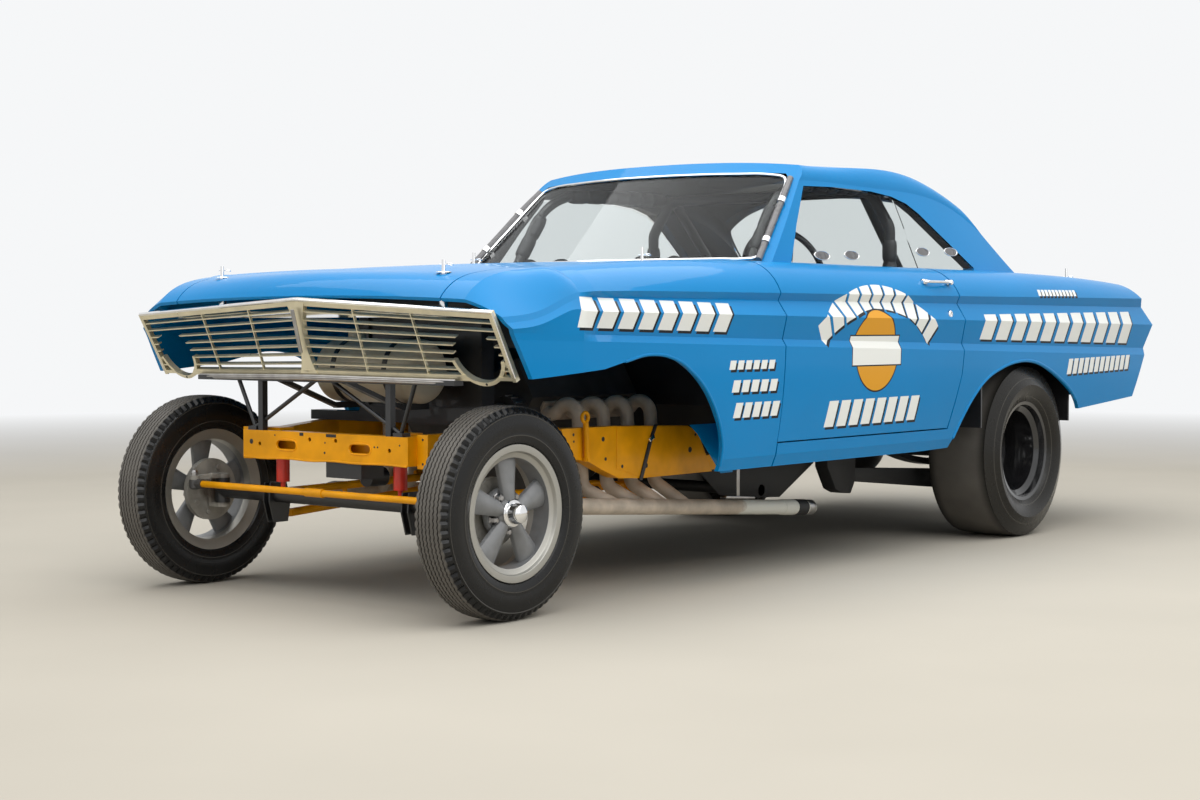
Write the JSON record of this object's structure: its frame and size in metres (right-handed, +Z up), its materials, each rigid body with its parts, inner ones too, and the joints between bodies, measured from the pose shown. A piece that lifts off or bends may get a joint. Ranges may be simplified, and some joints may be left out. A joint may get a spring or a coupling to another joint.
{
  "type": "drag racing car",
  "caption": "Altered-wheelbase two-door drag racing coupe with a straight front axle, lift-off hood and trunk lid, hinged doors, steering and free-turning wheels.",
  "frame": {"origin": "on the floor under the middle of the whole car's bounding box", "axes": "+X to the car's left, +Y to its rear, +Z up"},
  "size_m": [1.8164, 4.6475, 1.516],
  "materials": {
    "body_paint": "gloss mid blue paint",
    "frame_paint": "gloss yellow-orange paint",
    "black_paint": "satin black paint",
    "red_paint": "gloss red paint",
    "tyre_rubber": "matt black rubber",
    "rim_cast": "satin grey casting with a machined lip",
    "rim_black": "gloss black paint",
    "grille_gold": "pale gold anodised",
    "clear_glass": "clear",
    "clear_sheet": "clear polycarbonate sheet",
    "header_coat": "cream high-temperature coating",
    "bare_steel": "bare machined steel",
    "cast_grey": "painted casting",
    "tank_coat": "beige paint",
    "black_vinyl": "black vinyl",
    "lamp_red": "red lens",
    "pin_chrome": "chrome plate"
  },
  "bodies": {
    "chassis": {"body_shell": "body_paint", "front_fender_left": "body_paint", "front_fender_right": "body_paint", "quarter_windows": "clear_sheet", "windshield": "clear_glass", "rear_window": "clear_glass", "floor_pan": "black_paint", "front_axle": "black_paint", "front_crossmember": "frame_paint", "frame_rails": "frame_paint", "nose_braces": "black_paint", "grille": "grille_gold", "fuel_tank": "tank_coat", "radiator": "black_paint", "engine": "cast_grey", "transmission": "cast_grey", "exhaust_headers": "header_coat", "rear_axle": "black_paint", "leaf_springs": "black_paint", "front_ladder_bars": "frame_paint", "front_shocks": "red_paint", "roll_cage": "black_vinyl", "seats": "black_vinyl", "dashboard": "black_paint", "steering_gear": "bare_steel", "tail_lamps": "lamp_red", "panel_pins": "pin_chrome"},
    "hood": {"hood": "body_paint"},
    "trunk_lid": {"trunk_lid": "body_paint"},
    "door_left": {"door_left": "body_paint", "door_window_left": "clear_sheet"},
    "door_right": {"door_right": "body_paint", "door_window_right": "clear_sheet"},
    "knuckle_left": {"knuckle_left": "cast_grey"},
    "knuckle_right": {"knuckle_right": "cast_grey"},
    "front_wheel_left": {"front_rim_left": "rim_cast", "front_tyre_left": "tyre_rubber"},
    "front_wheel_right": {"front_rim_right": "rim_cast", "front_tyre_right": "tyre_rubber"},
    "rear_wheel_left": {"rear_rim_left": "rim_black", "rear_tyre_left": "tyre_rubber"},
    "rear_wheel_right": {"rear_rim_right": "rim_black", "rear_tyre_right": "tyre_rubber"},
    "tie_rod": {"tie_rod": "frame_paint"},
    "steering_wheel": {"steering_wheel": "black_vinyl"}
  },
  "joints": [
    {"name": "steer_left", "type": "hinge", "parent": "chassis", "child": "knuckle_left", "pos_m": [0.588, -2.00225, 0.3215], "axis": [0, 0, 1], "range_deg": [-28, 28]},
    {"name": "front_wheel_left_spin", "type": "hinge", "parent": "knuckle_left", "child": "front_wheel_left", "pos_m": [0.69, -2.00225, 0.3215], "axis": [1, 0, 0], "continuous": true},
    {"name": "rear_wheel_left_spin", "type": "hinge", "parent": "chassis", "child": "rear_wheel_left", "pos_m": [0.7155, 1.08575, 0.358], "axis": [1, 0, 0], "continuous": true},
    {"name": "door_left_hinge", "type": "hinge", "parent": "chassis", "child": "door_left", "pos_m": [0.914, -0.82225, 0.75], "axis": [0, 0, -1], "range_deg": [0, 65]},
    {"name": "steer_right", "type": "hinge", "parent": "chassis", "child": "knuckle_right", "pos_m": [-0.588, -2.00225, 0.3215], "axis": [0, 0, 1], "range_deg": [-28, 28]},
    {"name": "front_wheel_right_spin", "type": "hinge", "parent": "knuckle_right", "child": "front_wheel_right", "pos_m": [-0.69, -2.00225, 0.3215], "axis": [1, 0, 0], "continuous": true},
    {"name": "rear_wheel_right_spin", "type": "hinge", "parent": "chassis", "child": "rear_wheel_right", "pos_m": [-0.7155, 1.08575, 0.358], "axis": [1, 0, 0], "continuous": true},
    {"name": "door_right_hinge", "type": "hinge", "parent": "chassis", "child": "door_right", "pos_m": [-0.914, -0.82225, 0.75], "axis": [0, 0, 1], "range_deg": [0, 65]},
    {"name": "tie_rod_pivot", "type": "hinge", "parent": "knuckle_left", "child": "tie_rod", "pos_m": [0.588, -2.12025, 0.35], "axis": [0, 0, 1], "range_deg": [-28, 28]},
    {"name": "steering_wheel_turn", "type": "hinge", "parent": "chassis", "child": "steering_wheel", "pos_m": [0.4, -0.09025, 1.066], "axis": [0, 0.9464, 0.3231], "range_deg": [-224, 224]},
    {"name": "hood_lift", "type": "slide", "parent": "chassis", "child": "hood", "axis": [0, 0, 1], "range_m": [0, 0.4]},
    {"name": "trunk_lid_lift", "type": "slide", "parent": "chassis", "child": "trunk_lid", "axis": [0, 0, 1], "range_m": [0, 0.4]}
  ],
  "couplings": [
    {"joint": "steer_right", "follows": "steer_left", "ratio": 1},
    {"joint": "tie_rod_pivot", "follows": "steer_left", "ratio": -1},
    {"joint": "steering_wheel_turn", "follows": "steer_left", "ratio": 8}
  ]
}
